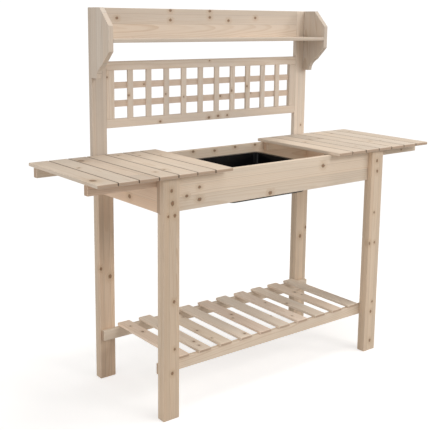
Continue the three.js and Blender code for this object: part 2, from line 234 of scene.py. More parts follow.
class LatticeSettings(PropertyGroup):
    """Sizes of the lattice bars."""

    uprights: IntProperty(name="Uprights", description="Number of upright bars", default=10, min=1)
    crossbars: IntProperty(name="Crossbars", description="Number of level bars", default=2, min=1)
    upright_width: FloatProperty(
        name="Upright width", description="Width of an upright bar", unit="LENGTH", default=23 * MM,
    )
    crossbar_height: FloatProperty(
        name="Crossbar height", description="Height of a level bar", unit="LENGTH", default=24 * MM,
    )
    thickness: FloatProperty(
        name="Thickness", description="Thickness of each bar", unit="LENGTH", default=9 * MM,
    )
    arris: FloatProperty(
        name="Arris", description="Radius of the bars' eased edges", unit="LENGTH", default=1.0 * MM,
    )


class BasinSettings(PropertyGroup):
    """Sizes and colour of the plastic basin."""

    colour: FloatVectorProperty(
        name="Colour", description="Moulded plastic", subtype="COLOR", size=3,
        default=(0.0030, 0.0030, 0.0036), min=0, max=1,
    )
    rim_width: FloatProperty(
        name="Rim width", description="Flat rim round the mouth", unit="LENGTH", default=16 * MM,
    )
    rim_thickness: FloatProperty(
        name="Rim thickness", description="Thickness of the rim", unit="LENGTH", default=3 * MM,
    )
    wall: FloatProperty(
        name="Wall", description="Thickness of walls and floor", unit="LENGTH", default=3 * MM,
    )
    taper: FloatProperty(
        name="Taper", description="How far each wall leans in", unit="LENGTH", default=22 * MM,
    )
    rim_corner: FloatProperty(
        name="Rim corner", description="Corner radius of the rim", unit="LENGTH", default=12 * MM,
    )
    mouth_corner: FloatProperty(
        name="Mouth corner", description="Corner radius of the mouth", unit="LENGTH", default=22 * MM,
    )
    floor_corner: FloatProperty(
        name="Floor corner", description="Corner radius of the floor", unit="LENGTH", default=20 * MM,
    )
    edge: FloatProperty(
        name="Floor edge", description="Radius between the walls and the floor", unit="LENGTH",
        default=10 * MM,
    )


class StudioSettings(PropertyGroup):
    """Camera and light."""

    camera_place: FloatVectorProperty(
        name="Camera place", description="Where the camera stands", subtype="TRANSLATION", size=3,
        unit="LENGTH", default=(-1.9828, -2.3570, 1.3648),
    )
    heading: FloatProperty(
        name="Heading", description="Camera direction, turned from straight back to the right",
        unit="ROTATION", default=math.radians(37.93),
    )
    pitch: FloatProperty(
        name="Pitch", description="How far the camera looks down", unit="ROTATION",
        default=math.radians(10.40),
    )
    roll: FloatProperty(
        name="Roll", description="Camera roll", unit="ROTATION", default=math.radians(0.61),
    )
    lens: FloatProperty(name="Lens", description="Focal length", unit="CAMERA", default=67.6)
    shift: FloatProperty(name="Shift", description="Vertical lens shift", default=-0.112)
    floor_colour: FloatVectorProperty(
        name="Floor colour", description="Plain pale floor", subtype="COLOR", size=3,
        default=(0.62, 0.61, 0.60), min=0, max=1,
    )
    room_light: FloatProperty(
        name="Room light", description="Strength of the even light round the bench", default=0.38,
        min=0,
    )


class Graph:
    """Adds nodes to one node tree. A value is a socket to link or a constant to set."""

    def __init__(self, tree):
        self.tree = tree

    def node(self, kind, **settings):
        node = self.tree.nodes.new(kind)
        node.location = (200 * (len(self.tree.nodes) % 12), -220 * (len(self.tree.nodes) // 12))
        for name, value in settings.items():
            setattr(node, name, value)
        return node

    def feed(self, socket, value):
        if isinstance(value, bpy.types.NodeSocket):
            self.tree.links.new(value, socket)
        else:
            socket.default_value = value

    def math(self, operation, *values, clamp=False):
        node = self.node("ShaderNodeMath", operation=operation, use_clamp=clamp)
        for socket, value in zip(node.inputs, values):
            self.feed(socket, value)
        return node.outputs[0]

    def vector(self, operation, *values):
        node = self.node("ShaderNodeVectorMath", operation=operation)
        for socket, value in zip(node.inputs, values):
            self.feed(socket, value)
        return node.outputs["Value" if operation == "LENGTH" else "Vector"]

    def scaled(self, vector, factor):
        node = self.node("ShaderNodeVectorMath", operation="SCALE")
        self.feed(node.inputs[0], vector)
        self.feed(node.inputs["Scale"], factor)
        return node.outputs["Vector"]

    def ease(self, value, low, high):
        """0 below low, 1 above high and a smooth step between them."""
        node = self.node("ShaderNodeMapRange", interpolation_type="SMOOTHSTEP")
        self.feed(node.inputs["Value"], value)
        self.feed(node.inputs["From Min"], low)
        self.feed(node.inputs["From Max"], high)
        return node.outputs["Result"]

    def noise(self, position, scale=1.0, detail=2.0):
        node = self.node("ShaderNodeTexNoise", noise_dimensions="3D")
        self.feed(node.inputs["Vector"], position)
        self.feed(node.inputs["Scale"], scale)
        self.feed(node.inputs["Detail"], detail)
        return node.outputs["Fac"]

    def chance(self, seed):
        """Three random numbers from 0 to 1 for a seed."""
        node = self.node("ShaderNodeTexWhiteNoise", noise_dimensions="1D")
        self.feed(node.inputs["W"], seed)
        return self.split(node.outputs["Color"])

    def split(self, vector):
        node = self.node("ShaderNodeSeparateXYZ")
        self.feed(node.inputs[0], vector)
        return node.outputs[0], node.outputs[1], node.outputs[2]

    def blend(self, factor, first, second, blend_type="MIX"):
        node = self.node("ShaderNodeMix", data_type="RGBA", blend_type=blend_type)
        self.feed(node.inputs[0], factor)
        self.feed(node.inputs[6], first)
        self.feed(node.inputs[7], second)
        return node.outputs[2]

    def own(self, name, output="Fac"):
        """One of the board's own values, kept on the object."""
        node = self.node("ShaderNodeAttribute", attribute_type="OBJECT", attribute_name=name)
        return node.outputs[output]

    def group(self, tree, **values):
        node = self.node("ShaderNodeGroup", node_tree=tree)
        for name, value in values.items():
            self.feed(node.inputs[name.replace("_", " ").capitalize()], value)
        return node.outputs


def colour4(colour):
    """A colour with full alpha, as sockets take it."""
    return (*colour, 1.0)


def new_material(name):
    """An empty material and the graph that its nodes go into."""
    material = bpy.data.materials.new(name)
    material.use_nodes = True
    material.node_tree.nodes.clear()
    return material, Graph(material.node_tree)


def bump(graph, height, strength, distance):
    """The normal of a surface with this height."""
    node = graph.node("ShaderNodeBump")
    node.inputs["Strength"].default_value = strength
    node.inputs["Distance"].default_value = distance
    graph.feed(node.inputs["Height"], height)
    return node.outputs["Normal"]


def show_surface(graph, surface):
    """Makes a shader the material's surface."""
    output = graph.node("ShaderNodeOutputMaterial")
    graph.feed(output.inputs["Surface"], surface.outputs["BSDF"])


def new_group(name, inputs, outputs):
    """An empty shader node group with named sockets: its graph, its input sockets and its output node."""
    tree = bpy.data.node_groups.new(name, "ShaderNodeTree")
    for socket, kind, value in inputs:
        made = tree.interface.new_socket(name=socket, in_out="INPUT", socket_type="NodeSocket" + kind)
        if value is not None:
            made.default_value = value
    for socket, kind in outputs:
        tree.interface.new_socket(name=socket, in_out="OUTPUT", socket_type="NodeSocket" + kind)
    graph = Graph(tree)
    return graph, graph.node("NodeGroupInput").outputs, graph.node("NodeGroupOutput").inputs


def shared_group(name, build):
    """The node group of that name, built the first time it is asked for."""
    return bpy.data.node_groups.get(name) or build(name)


def stave_group(name):
    """Which stave and which finger-jointed length a point lies in: its seed, its tone and the glue line."""
    graph, given, result = new_group(
        name,
        [
            ("Position", "Vector", None), ("Seed", "Float", 0.0), ("Glue lines", "Vector", None),
            ("Tones", "Vector", None), ("Joints", "Vector", None),
        ],
        [("Seed", "Float"), ("Tone", "Float"), ("Glue", "Float")],
    )
    along, across, _ = graph.split(given["Position"])
    low_line, high_line, _ = graph.split(given["Glue lines"])
    low_tone, middle_tone, high_tone = graph.split(given["Tones"])
    low_joint, high_joint, _ = graph.split(given["Joints"])
    past_low = graph.math("GREATER_THAN", across, low_line)
    past_high = graph.math("GREATER_THAN", across, high_line)
    tone = graph.math("ADD", low_tone, graph.math(
        "MULTIPLY", past_low, graph.math("SUBTRACT", middle_tone, low_tone)))
    tone = graph.math("ADD", tone, graph.math(
        "MULTIPLY", past_high, graph.math("SUBTRACT", high_tone, middle_tone)))
    fingers = graph.math("MULTIPLY", graph.math("PINGPONG", across, 4 * MM), 2.4)
    pointed = graph.math("ADD", along, fingers)
    before = graph.math("LESS_THAN", pointed, low_joint)
    after = graph.math("GREATER_THAN", pointed, high_joint)
    seed = given["Seed"]
    for inside, step in ((past_low, 7.31), (past_high, 3.57), (before, 11.9), (after, 5.23)):
        seed = graph.math("ADD", seed, graph.math("MULTIPLY", inside, step))
    swapped = graph.math("ADD", before, after)
    tone = graph.math("SUBTRACT", tone, graph.math("MULTIPLY", swapped, 0.10))
    gap = graph.math("MINIMUM", *(
        graph.math("ABSOLUTE", graph.math("SUBTRACT", across, line)) for line in (low_line, high_line)))
    joint_gap = graph.math("MINIMUM", *(
        graph.math("ABSOLUTE", graph.math("SUBTRACT", pointed, joint)) for joint in (low_joint, high_joint)))
    gap = graph.math("MINIMUM", gap, joint_gap)
    glue = graph.math("SUBTRACT", 1.0, graph.ease(gap, 0.3 * MM, 1.1 * MM))
    graph.feed(result["Seed"], seed)
    graph.feed(result["Tone"], tone)
    graph.feed(result["Glue"], glue)
    return graph.tree


def grain_group(name):
    """Sawn fir: year rings round a pith outside the board, with streaks and fibres along it."""
    graph, given, result = new_group(
        name,
        [
            ("Position", "Vector", None), ("Seed", "Float", 0.0), ("Ring width", "Float", 3.6 * MM),
            ("Bend", "Float", 0.0), ("Pale", "Color", None), ("Latewood", "Color", None),
        ],
        [("Color", "Color"), ("Height", "Float")],
    )
    shift = graph.scaled((3.1, 5.7, 8.3), given["Seed"])
    place = given["Position"]
    across_chance, depth_chance, lean_chance = graph.chance(given["Seed"])
    tip_chance, warm_chance, _ = graph.chance(graph.math("ADD", given["Seed"], 0.37))
    along, across, depth = graph.split(place)

    def stretched(along_scale, across_scale):
        scaled = graph.vector("MULTIPLY", place, (along_scale, across_scale, across_scale))
        return graph.vector("ADD", scaled, shift)

    def spread(chance, size):
        return graph.math("MULTIPLY", graph.math("SUBTRACT", chance, 0.5), size)

    pith_across = spread(across_chance, 0.12)
    pith_depth = graph.math("ADD", graph.math("MULTIPLY", depth_chance, 0.055), 0.018)
    lean = graph.math("MULTIPLY", along, spread(lean_chance, 0.05))
    tip = graph.math("MULTIPLY", along, spread(tip_chance, 0.07))
    out = graph.math("ADD", graph.math("SUBTRACT", across, pith_across), lean)
    down = graph.math("ADD", graph.math("ADD", depth, pith_depth), tip)
    radius = graph.math("SQRT", graph.math("ADD", graph.math("MULTIPLY", out, out),
                                           graph.math("MULTIPLY", down, down)))
    slow = spread(graph.noise(stretched(1.6, 9.0)), 0.016)
    quick = spread(graph.noise(stretched(9.0, 40.0)), 0.003)
    bend = graph.math("MULTIPLY", given["Bend"], given["Ring width"])
    radius = graph.math("ADD", graph.math("ADD", radius, slow), graph.math("ADD", quick, bend))
    ring = graph.math("DIVIDE", radius, given["Ring width"])
    part = graph.math("FRACT", ring)
    vigour, _, _ = graph.chance(graph.math("ADD", graph.math("FLOOR", ring), given["Seed"]))
    late = graph.math("MULTIPLY", graph.ease(part, 0.30, 0.88),
                      graph.math("SUBTRACT", 1.0, graph.ease(part, 0.92, 1.0)))
    late = graph.math("MULTIPLY", late, graph.math("ADD", graph.math("MULTIPLY", vigour, 0.55), 0.15))
    streak = spread(graph.noise(stretched(1.4, 110.0), detail=3.0), 1.3)
    fibre = spread(graph.noise(stretched(30.0, 1500.0), detail=1.0), 1.0)
    cloud = spread(graph.noise(stretched(2.2, 14.0)), 1.0)
    warm = spread(warm_chance, 1.0)
    factor = graph.math("ADD", late, graph.math("MULTIPLY", streak, 0.55), clamp=True)
    dark = graph.blend(1.0, given["Pale"], given["Latewood"], "MULTIPLY")
    colour = graph.blend(factor, given["Pale"], dark)
    level = graph.math("ADD", graph.math("MULTIPLY", cloud, 0.20), graph.math("MULTIPLY", fibre, 0.10))
    level = graph.math("ADD", graph.math("ADD", level, graph.math("MULTIPLY", streak, 0.06)), 1.0)
    pink = graph.node("ShaderNodeCombineXYZ")
    tinge = graph.math("MULTIPLY", graph.math("ADD", warm, cloud), 0.035)
    graph.feed(pink.inputs[0], graph.math("ADD", 1.0, tinge))
    graph.feed(pink.inputs[1], 1.0)
    graph.feed(pink.inputs[2], graph.math("SUBTRACT", 1.0, tinge))
    colour = graph.vector("MULTIPLY", colour, pink.outputs[0])
    height = graph.math("SUBTRACT", fibre, graph.math("MULTIPLY", late, 0.8))
    graph.feed(result["Color"], graph.scaled(colour, level))
    graph.feed(result["Height"], height)
    return graph.tree


def knot_group(name):
    """One knot through the board: its heart, its dark rim, its stain and how it bends the grain."""
    graph, given, result = new_group(
        name,
        [("Position", "Vector", None), ("Ragged", "Float", 0.5), ("Place", "Vector", None)],
        [("Heart", "Float"), ("Rim", "Float"), ("Stain", "Float"), ("Bend", "Float")],
    )
    along, across, _ = graph.split(given["Position"])
    knot_along, knot_across, radius = graph.split(given["Place"])
    run = graph.math("DIVIDE", graph.math("SUBTRACT", along, knot_along), 1.25)
    side = graph.math("SUBTRACT", across, knot_across)
    gap = graph.math("SQRT", graph.math("ADD", graph.math("MULTIPLY", run, run),
                                        graph.math("MULTIPLY", side, side)))
    rough = graph.math("MULTIPLY", graph.math("SUBTRACT", given["Ragged"], 0.5), 0.9)
    gap = graph.math("MULTIPLY", gap, graph.math("ADD", rough, 1.0))
    share = graph.math("DIVIDE", gap, graph.math("MAXIMUM", radius, 1e-6))
    heart = graph.math("SUBTRACT", 1.0, graph.ease(share, 0.6, 1.25))
    rim = graph.math("MULTIPLY", graph.ease(share, 0.45, 0.9),
                     graph.math("SUBTRACT", 1.0, graph.ease(share, 1.0, 1.4)))
    stain = graph.math("SUBTRACT", 1.0, graph.ease(share, 1.0, 4.5))
    graph.feed(result["Heart"], heart)
    graph.feed(result["Rim"], rim)
    graph.feed(result["Stain"], stain)
    graph.feed(result["Bend"], graph.math("MULTIPLY", graph.math("MULTIPLY", stain, stain), 2.6))
    return graph.tree


def knots_group(name):
    """All the knots of a board together."""
    places = [(f"Knot {i + 1}", "Vector", None) for i in range(KNOTS_PER_BOARD)]
    graph, given, result = new_group(
        name,
        [("Position", "Vector", None)] + places,
        [("Heart", "Float"), ("Rim", "Float"), ("Stain", "Float"), ("Bend", "Float")],
    )
    one_knot = shared_group("one knot", knot_group)
    ragged = graph.noise(given["Position"], scale=260.0)
    totals = {name: 0.0 for name in ("Heart", "Rim", "Stain", "Bend")}
    for place, _, _ in places:
        knot = graph.group(one_knot, position=given["Position"], ragged=ragged, place=given[place])
        for part, total in totals.items():
            totals[part] = graph.math("MAXIMUM", total, knot[part])
    for part, total in totals.items():
        graph.feed(result[part], total)
    return graph.tree


def arris_highlight_group(name):
    """How near a point is to the board's edges, broken up by noise: the mask of a painted highlight along
    the eased edges, patchy like handling wear.
    """
    graph, given, result = new_group(
        name,
        [("Position", "Vector", None), ("Half size", "Vector", None), ("Reach", "Float", 3 * MM)],
        [("Edge", "Float")],
    )
    inward = graph.vector("SUBTRACT", given["Half size"], graph.vector("ABSOLUTE", given["Position"]))
    first, second, third = graph.split(inward)
    nearest = graph.math("MINIMUM", first, second)
    farthest = graph.math("MAXIMUM", first, second)
    edge_gap = graph.math("MAXIMUM", nearest, graph.math("MINIMUM", farthest, third))
    patchiness = graph.ease(graph.noise(given["Position"], scale=55.0, detail=3.0), 0.35, 0.65)
    edge = graph.math("SUBTRACT", 1.0, graph.ease(edge_gap, 0.0, given["Reach"]))
    graph.feed(result["Edge"], graph.math("MULTIPLY", edge, graph.math("ADD", graph.math(
        "MULTIPLY", patchiness, 0.6), 0.4)))
    return graph.tree


def fir_material(name, colour):
    """Bare sanded fir of one pale colour; each board brings its own seed, staves and knots."""
    material, graph = new_material(name)
    fir = bpy.context.scene.bench_fir
    place = graph.node("ShaderNodeTexCoord").outputs["Object"]
    staves = graph.group(
        shared_group("laid up staves", stave_group), position=place, seed=graph.own("board_seed"),
        glue_lines=graph.own("glue_lines", "Vector"), tones=graph.own("stave_tones", "Vector"),
        joints=graph.own("finger_joints", "Vector"),
    )
    knot_places = {
        f"knot_{i + 1}": graph.own(f"knot_{i + 1}", "Vector") for i in range(KNOTS_PER_BOARD)
    }
    knots = graph.group(shared_group("board knots", knots_group), position=place, **knot_places)
    grain = graph.group(
        shared_group("fir grain", grain_group), position=place, seed=staves["Seed"],
        ring_width=fir.ring_width, bend=knots["Bend"], pale=colour4(colour),
        latewood=colour4(fir.latewood),
    )
    arris = graph.group(
        shared_group("arris highlight", arris_highlight_group), position=place,
        half_size=graph.own("half_size", "Vector"), reach=2.5 * MM,
    )
    end_grain = graph.node("ShaderNodeAttribute", attribute_name="end_grain").outputs["Fac"]
    gap_side = graph.node("ShaderNodeAttribute", attribute_name="gap_side").outputs["Fac"]
    shade = graph.scaled(grain["Color"], staves["Tone"])
    shade = graph.vector("MULTIPLY", shade, graph.own("tint", "Vector"))
    layers = (
        (staves["Glue"], 0.24, GLUE_COLOUR),
        (knots["Stain"], 0.34, KNOT_STAIN),
        (knots["Heart"], 0.85, fir.knot_colour),
        (knots["Rim"], 0.45, KNOT_RIM),
        # Painted highlight along the eased edges, broken up by noise.
        (arris["Edge"], 0.22, ARRIS_HIGHLIGHT),
        (end_grain, 0.80, END_GRAIN),
        # Painted shade on the slats' sides that face a narrow gap.
        (gap_side, 0.74, GAP_SHADE),
    )
    for mask, strength, layer_colour in layers:
        shade = graph.blend(graph.math("MULTIPLY", mask, strength), shade, colour4(layer_colour))
    roughness = graph.math("ADD", 0.62, graph.math("MULTIPLY", grain["Height"], 0.10))
    roughness = graph.math("SUBTRACT", roughness, graph.math("MULTIPLY", knots["Heart"], 0.12))
    height = graph.math("ADD", grain["Height"], graph.math("MULTIPLY", knots["Heart"], 0.8))
    height = graph.math("SUBTRACT", height, staves["Glue"])
    surface = graph.node("ShaderNodeBsdfPrincipled")
    surface.inputs["Specular IOR Level"].default_value = 0.35
    graph.feed(surface.inputs["Base Color"], shade)
    graph.feed(surface.inputs["Roughness"], roughness)
    graph.feed(surface.inputs["Normal"], bump(graph, height, strength=0.35, distance=0.25 * MM))
    show_surface(graph, surface)
    return material


def wood(slot):
    """The fir material for one of the record's slots, made once from its colour in the settings."""
    fir = bpy.context.scene.bench_fir
    name, colour = {
        "leg_wood": ("leg_fir", fir.leg_colour),
        "apron_wood": ("apron_fir", fir.apron_colour),
        "slat_wood": ("slat_fir", fir.slat_colour),
        "back_wood": ("back_fir", fir.back_colour),
    }[slot]
    return bpy.data.materials.get(name) or fir_material(name, colour)


def grain_frame(size):
    """Turns a board's own axes, along, across and through, into the bench's."""
    order = sorted(range(3), key=lambda axis: -size[axis])
    columns = [Vector([float(axis == row) for row in range(3)]) for axis in order]
    if columns[0].cross(columns[1]).dot(columns[2]) < 0:
        columns[2].negate()
    return Matrix(columns).transposed().to_4x4()


def box_form(low, high):
    """A block between two corners."""
    form = bmesh.new()
    bmesh.ops.create_cube(form, size=1.0)
    size = high - low
    middle = (low + high) / 2
    for vert in form.verts:
        vert.co = Vector(vert.co[i] * size[i] + middle[i] for i in range(3))
    return form


def node_form(node):
    """The CAD node's own outline, with one face for each flat side."""
    form = bmesh.new()
    form.from_mesh(frame["nodes"][node].data)
    bmesh.ops.remove_doubles(form, verts=form.verts, dist=0.01 * MM)
    bmesh.ops.dissolve_limit(
        form, angle_limit=math.radians(1), verts=form.verts, edges=form.edges,
        use_dissolve_boundaries=False,
    )
    return form


def ease_edges(form, radius):
    """Rounds every edge that turns sharply."""
    sharp = [
        edge for edge in form.edges
        if len(edge.link_faces) == 2 and edge.calc_face_angle(0.0) > SHARP_TURN
    ]
    bmesh.ops.bevel(
        form, geom=sharp, offset=radius, segments=2, profile=0.5, affect="EDGES", clamp_overlap=True,
    )


def add_piece(name, form, frame_matrix, material):
    """Makes an object of a form: its own axes are those of frame_matrix, and its shape stays in place."""
    form.transform(frame_matrix.inverted())
    mesh = bpy.data.meshes.new(name)
    bmesh.ops.recalc_face_normals(form, faces=form.faces)
    form.to_mesh(mesh)
    form.free()
    for layer in list(mesh.uv_layers):
        mesh.uv_layers.remove(layer)
    mesh.shade_smooth()
    mesh.materials.clear()
    mesh.materials.append(material)
    piece = bpy.data.objects.new(name, mesh)
    piece.matrix_world = frame_matrix
    bpy.context.scene.collection.objects.link(piece)
    even = piece.modifiers.new("Even shading", "WEIGHTED_NORMAL")
    even.keep_sharp = True
    return piece


def mark_points(mesh, name, holds):
    """Keeps, for each point of a board, whether it holds: on a sawn end, for one, or in a gap."""
    layer = mesh.attributes.new(name, "FLOAT", "POINT")
    for vert, value in zip(mesh.vertices, layer.data):
        value.value = float(holds(vert.co))


def board_knots(key, rng, length, width):
    """The board's knots in metres, padded with empty places."""
    knots = KNOTS.get(key)
    if knots is None:
        count = rng.choice((0, 1, 1, 2, 2, 3)) if length > 0.3 else rng.choice((0, 0, 1))
        knots = [
            (rng.uniform(-0.94, 0.94), rng.uniform(-0.84, 0.84), rng.uniform(2.0, 4.2))
            for _ in range(count)
        ]
    placed = [(along * length / 2, across * width / 2, radius * MM) for along, across, radius in knots]
    return placed + [NO_KNOT] * (KNOTS_PER_BOARD - len(placed))


def add_board(key, form, low, high, slot, nodes, body, radius, gap_sides=(False, False), tone=1.0):
    """A board with eased edges, grain along its longest side and its own figure. gap_sides says whether
    its low and its high long side face a narrow gap, where the wood is in shade."""
    rng = random.Random(key)
    size = high - low
    ease_edges(form, radius)
    placed = Matrix.Translation((low + high) / 2) @ grain_frame(size)
    piece = add_piece(key + "_fir", form, placed, wood(slot))
    length, width, thickness = sorted(size, reverse=True)
    skin = 0.2 * MM
    shaded_rim = 0.4 * radius
    first = min(vert.co.x for vert in piece.data.vertices)
    last = max(vert.co.x for vert in piece.data.vertices)
    mark_points(piece.data, "end_grain", lambda co: co.x < first + skin or co.x > last - skin)
    mark_points(piece.data, "gap_side", lambda co: (gap_sides[0] and co.y < shaded_rim - width / 2)
                or (gap_sides[1] and co.y > width / 2 - shaded_rim))
    piece["board_seed"] = rng.uniform(0.0, 60.0)
    piece["half_size"] = (length / 2, width / 2, thickness / 2)
    lines, tones = STAVES.get(key, ((NO_STAVE, NO_STAVE), None))
    plain = rng.uniform(0.94, 1.04)
    tones = tones or (plain * tone, plain * tone, plain * tone)
    piece["glue_lines"] = (lines[0] * MM, lines[1] * MM, 0.0)
    piece["stave_tones"] = tones
    piece["tint"] = TINTS.get(key, (1.0, 1.0, 1.0))
    first_joint, second_joint = FINGER_JOINTS.get(key, (-NO_JOINT, NO_JOINT))
    piece["finger_joints"] = (first_joint * MM, second_joint * MM, 0.0)
    for i, knot in enumerate(board_knots(key, rng, length, width)):
        piece[f"knot_{i + 1}"] = knot
    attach(piece, body)
    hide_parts(*nodes)
    return piece


def add_node_board(node, slot, radius, trim=0.0, **figure):
    """The board that stands for one CAD node. Its ends may stand back by up to trim."""
    low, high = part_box(node)
    form = node_form(node)
    if trim:
        rng = random.Random("trim " + node)
        axis = max(range(3), key=lambda i: high[i] - low[i])
        low_cut, high_cut = rng.uniform(0, trim), rng.uniform(0, trim)
        for vert in form.verts:
            vert.co[axis] = min(max(vert.co[axis], low[axis] + low_cut), high[axis] - high_cut)
    return add_board(node, form, low, high, slot, [node], BODY_OF[node], radius, **figure)


def node_names(*starts):
    """The CAD nodes whose names begin with any of these words, in order."""
    return [node for node in sorted(BODY_OF) if node.startswith(starts)]


class BENCH_OT_legs(Operator):
    """Makes the four legs, each of two boards glued face to face."""

    bl_idname = "bench.legs"
    bl_label = "Legs"

    def execute(self, context):
        for node in node_names("leg_"):
            add_node_board(node, "leg_wood", context.scene.bench_fir.arris)
        return {"FINISHED"}


class BENCH_OT_aprons(Operator):
    """Makes the apron ring and the two rails that carry the basin."""

    bl_idname = "bench.aprons"
    bl_label = "Aprons"

    def execute(self, context):
        for node in node_names("apron_", "cross_rail_"):
            add_node_board(node, "apron_wood", context.scene.bench_fir.arris)
        return {"FINISHED"}


class BENCH_OT_sliding_tops(Operator):
    """Makes the slats and battens of the two sliding tops."""

    bl_idname = "bench.sliding_tops"
    bl_label = "Sliding tops"

    def execute(self, context):
        fir = context.scene.bench_fir
        for side in ("left", "right"):
            slats = node_names(side + "_top_slat_")
            middles = {node: sum(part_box(node), Vector()).x for node in slats}
            lowest, highest = min(middles.values()), max(middles.values())
            for node in slats:
                shaded = (middles[node] > lowest, middles[node] < highest)
                add_node_board(node, "slat_wood", fir.slat_arris, fir.end_trim, gap_sides=shaded)
        for node in node_names("left_top_batten_", "right_top_batten_"):
            add_node_board(node, "apron_wood", fir.arris)
        return {"FINISHED"}


class BENCH_OT_low_shelf(Operator):
    """Makes the low shelf's two rails and its slats."""

    bl_idname = "bench.low_shelf"
    bl_label = "Low shelf"

    def execute(self, context):
        fir = context.scene.bench_fir
        for node in node_names("shelf_rail_"):
            add_node_board(node, "apron_wood", fir.arris)
        for node in node_names("shelf_slat_"):
            # Painted light: the shelf slats' wood is drawn 14% paler, for the light that reaches the shelf
            # under the tops.
            add_node_board(node, "slat_wood", fir.slat_arris, fir.end_trim, tone=1.14)
        return {"FINISHED"}


class BENCH_OT_back(Operator):
    """Makes the posts, the lattice frame, the brackets, the small shelf and its back board."""

    bl_idname = "bench.back"
    bl_label = "Back"

    def execute(self, context):
        names = node_names(
            "post_", "lattice_rail_", "lattice_stile_", "bracket_", "top_shelf_board", "back_board"
        )
        for node in names:
            add_node_board(node, "back_wood", context.scene.bench_fir.arris)
        return {"FINISHED"}


class BENCH_OT_lattice(Operator):
    """Makes the lapped bars of the lattice."""

    bl_idname = "bench.lattice"
    bl_label = "Lattice"

    def execute(self, context):
        sizes = context.scene.bench_lattice
        low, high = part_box("lattice_grid")
        front, back = low.y, high.y

        def add_bars(name, axis, count, width, near, far, digits):
            opening = high[axis] - low[axis]
            hole = (opening - count * width) / (count + 1)
            for i in range(count):
                bar_low = Vector((low.x, near, low.z))
                bar_high = Vector((high.x, far, high.z))
                bar_low[axis] = low[axis] + hole + i * (hole + width)
                bar_high[axis] = bar_low[axis] + width
                key = f"{name}_{i + 1:0{digits}d}"
                add_board(
                    key, box_form(bar_low, bar_high), bar_low, bar_high, "back_wood",
                    ["lattice_grid"], BODY_OF["lattice_grid"], sizes.arris,
                )

        add_bars("lattice_upright", 0, sizes.uprights, sizes.upright_width, front,
                 front + sizes.thickness, 2)
        add_bars("lattice_crossbar", 2, sizes.crossbars, sizes.crossbar_height,
                 back - sizes.thickness, back, 1)
        return {"FINISHED"}


def rounded_ring(half_x, half_y, radius, height, steps=10):
    """Points round a rectangle with round corners."""
    points = []
    for corner in range(4):
        side_x = 1 if corner in (0, 3) else -1
        side_y = 1 if corner in (0, 1) else -1
        for step in range(steps + 1):
            angle = math.pi / 2 * (corner + step / steps)
            points.append(Vector((
                side_x * (half_x - radius) + radius * math.cos(angle),
                side_y * (half_y - radius) + radius * math.sin(angle),
                height,
            )))
    return points


def turns(first, last):
    """Angles in even steps from first to last."""
    return [first + (last - first) * i / ARC_STEPS for i in range(ARC_STEPS + 1)]


def basin_profile(basin, top, bottom):
    """The basin's section from under its floor, up outside, over the rim and down inside: how far in
    from the rim's edge, how high, and the corner radius there."""
    rim_low = top - basin.rim_thickness
    floor_inset = basin.rim_width + basin.taper
    floor_top = bottom + basin.wall
    section = [(floor_inset + basin.edge + 30 * MM, bottom, basin.floor_corner * 0.5)]
    for turn in turns(0, math.pi / 2):
        section.append((
            floor_inset + basin.edge * (1 - math.sin(turn)),
            bottom + basin.edge * (1 - math.cos(turn)),
            basin.floor_corner - basin.edge * 0.4 * (1 - math.sin(turn)),
        ))
    section.append((basin.rim_width, rim_low, basin.mouth_corner))
    roll = basin.rim_thickness / 2
    for turn in turns(0, math.pi):
        section.append((
            roll * (1 - math.sin(turn)),
            rim_low + roll * (1 - math.cos(turn)),
            basin.rim_corner - roll * (1 - math.sin(turn)),
        ))
    lip = 2.5 * MM
    mouth = basin.rim_width + basin.wall
    for turn in turns(0, math.pi / 2):
        section.append((
            mouth - lip * (1 - math.sin(turn)),
            top - lip * (1 - math.cos(turn)),
            basin.mouth_corner - basin.wall,
        ))
    inner_edge = basin.edge - basin.wall
    inner_floor = floor_inset + basin.wall
    for turn in turns(math.pi / 2, 0):
        section.append((
            inner_floor + inner_edge * (1 - math.sin(turn)),
            floor_top + inner_edge * (1 - math.cos(turn)),
            basin.floor_corner - basin.wall - inner_edge * 0.4 * (1 - math.sin(turn)),
        ))
    panel_corner = 16 * MM
    panel_rise = 1.6 * MM
    panel = inner_floor + inner_edge + 16 * MM
    for inset, rise in ((0, 0), (2 * MM, 0.75 * panel_rise), (4 * MM, panel_rise), (20 * MM, panel_rise)):
        section.append((panel + inset, floor_top + rise, panel_corner))
    return section


def plastic_material():
    """Black moulded plastic: a soft gloss, flow marks and fine scratches."""
    basin = bpy.context.scene.bench_basin
    material, graph = new_material("basin_gloss")
    place = graph.node("ShaderNodeTexCoord").outputs["Object"]
    mottle = graph.noise(place, scale=9.0, detail=3.0)
    pebble = graph.noise(place, scale=900.0, detail=1.0)
    scuffs = graph.noise(graph.vector("MULTIPLY", place, (240.0, 14.0, 40.0)), detail=3.0)
    scratch = graph.ease(scuffs, 0.62, 0.72)
    lighter = tuple(part * 1.6 for part in basin.colour)
    shade = graph.blend(mottle, colour4(basin.colour), colour4(lighter))
    shade = graph.blend(graph.math("MULTIPLY", scratch, 0.20), shade, colour4(SCUFFED_PLASTIC))
    roughness = graph.math("ADD", 0.13, graph.math("MULTIPLY", mottle, 0.08))
    roughness = graph.math("ADD", roughness, graph.math("MULTIPLY", scratch, 0.14))
    surface = graph.node("ShaderNodeBsdfPrincipled")
    surface.inputs["Specular IOR Level"].default_value = 0.10
    graph.feed(surface.inputs["Base Color"], shade)
    graph.feed(surface.inputs["Roughness"], roughness)
    graph.feed(surface.inputs["Normal"], bump(graph, pebble, strength=0.12, distance=0.08 * MM))
    show_surface(graph, surface)
    return material


